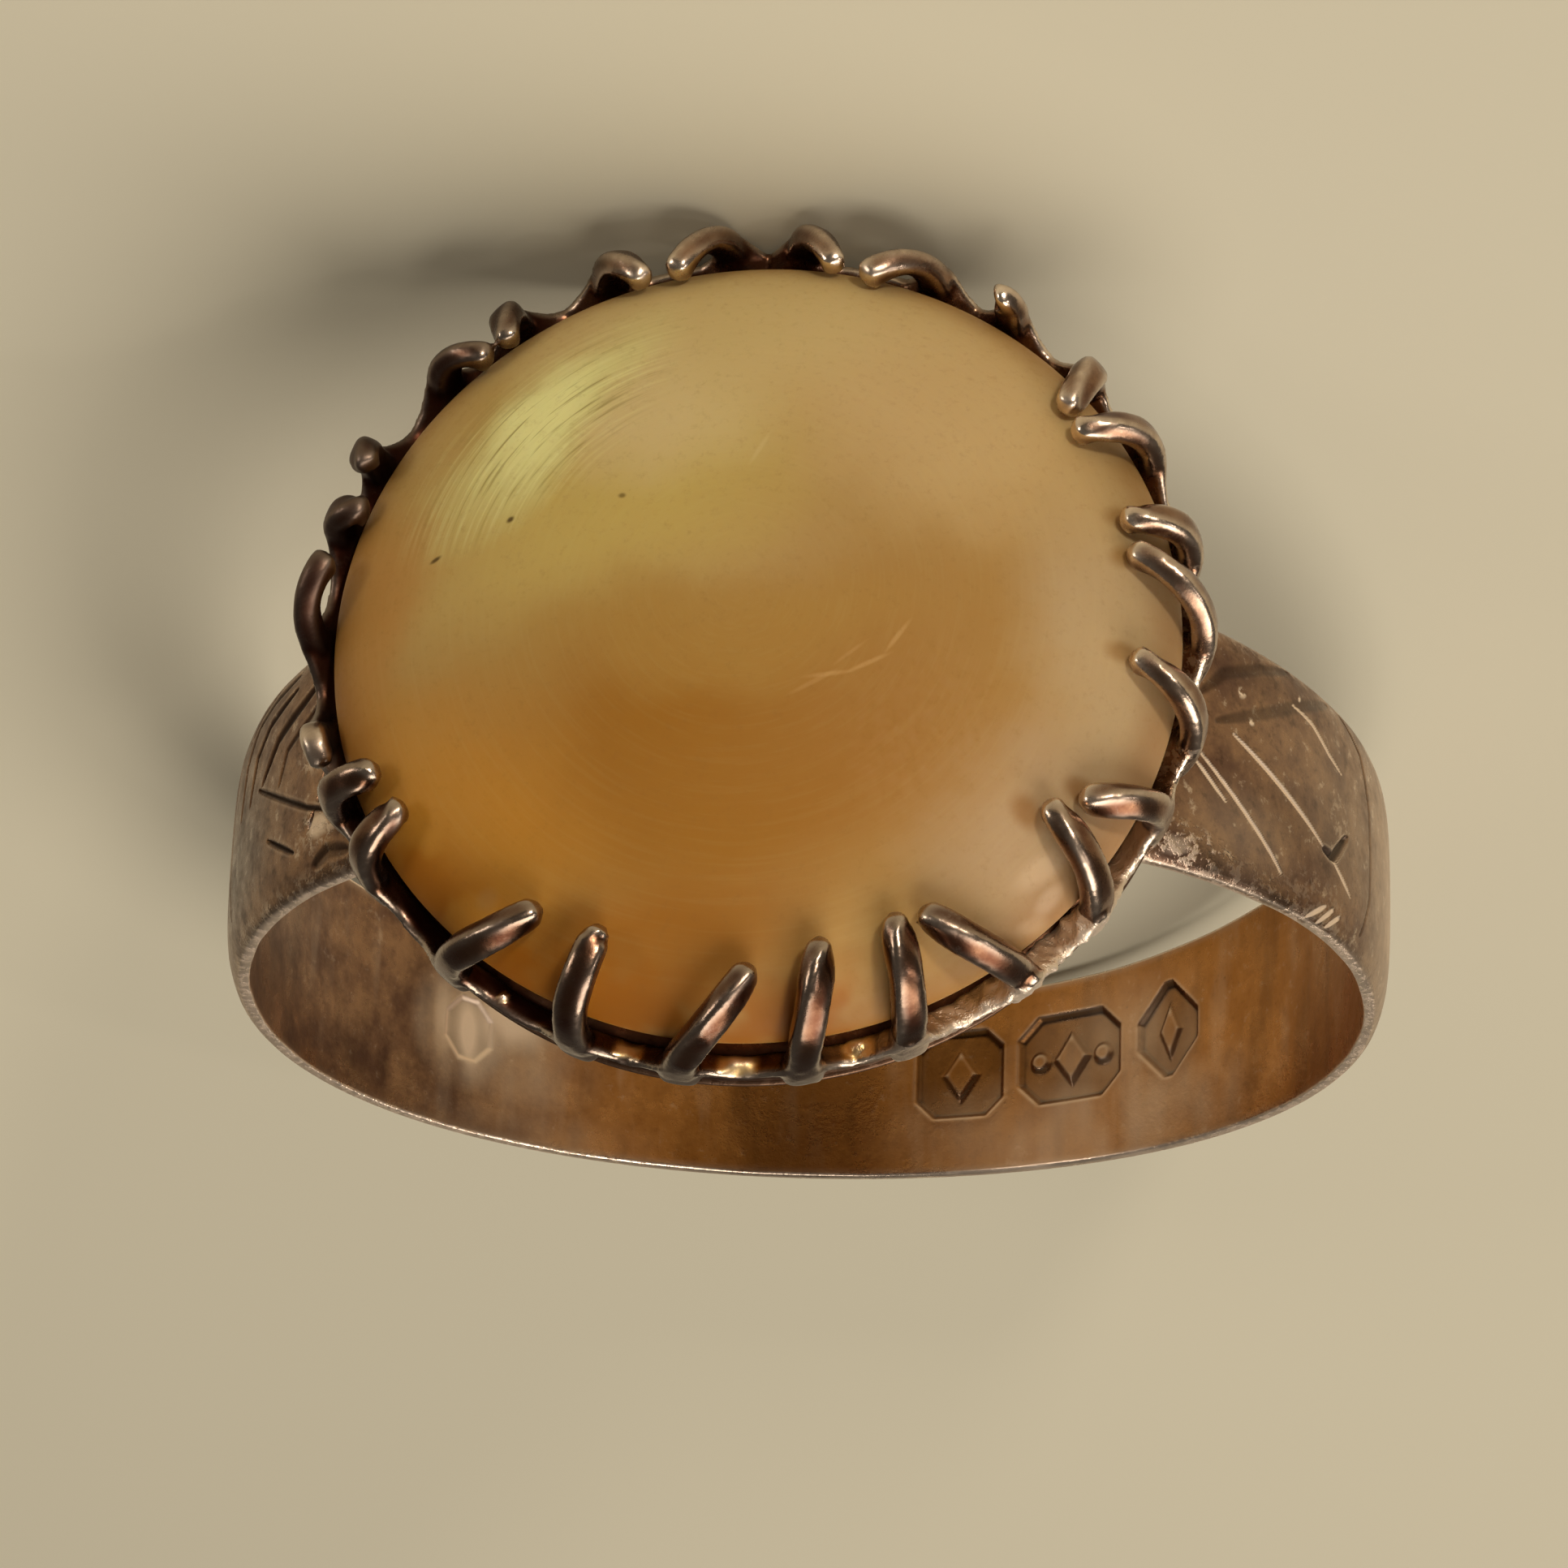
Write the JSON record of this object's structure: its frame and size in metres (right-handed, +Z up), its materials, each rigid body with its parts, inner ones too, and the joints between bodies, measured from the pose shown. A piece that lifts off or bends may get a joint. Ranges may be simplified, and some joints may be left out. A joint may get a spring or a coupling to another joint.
{
  "type": "mother-of-pearl ring",
  "caption": "Finger ring with a flat gold band, a round coronet collet of bent wire claws and a low domed mother-of-pearl cabochon, lying on its side.",
  "frame": {"origin": "on the table, below the middle of the ring's box, as the ring lies on its side", "axes": "+Z up from the table, -Y towards the stone, +X across the hand. The finger hole's axis leans back from +Z by 14.7 degrees"},
  "size_m": [0.0184, 0.0215, 0.0128],
  "materials": {
    "rose_gold": "worn and tarnished nine carat rose gold",
    "mother_of_pearl": "polished golden mother-of-pearl"
  },
  "bodies": {
    "root": {"gold_mount": "rose_gold", "pearl_cabochon": "mother_of_pearl"}
  },
  "joints": []
}
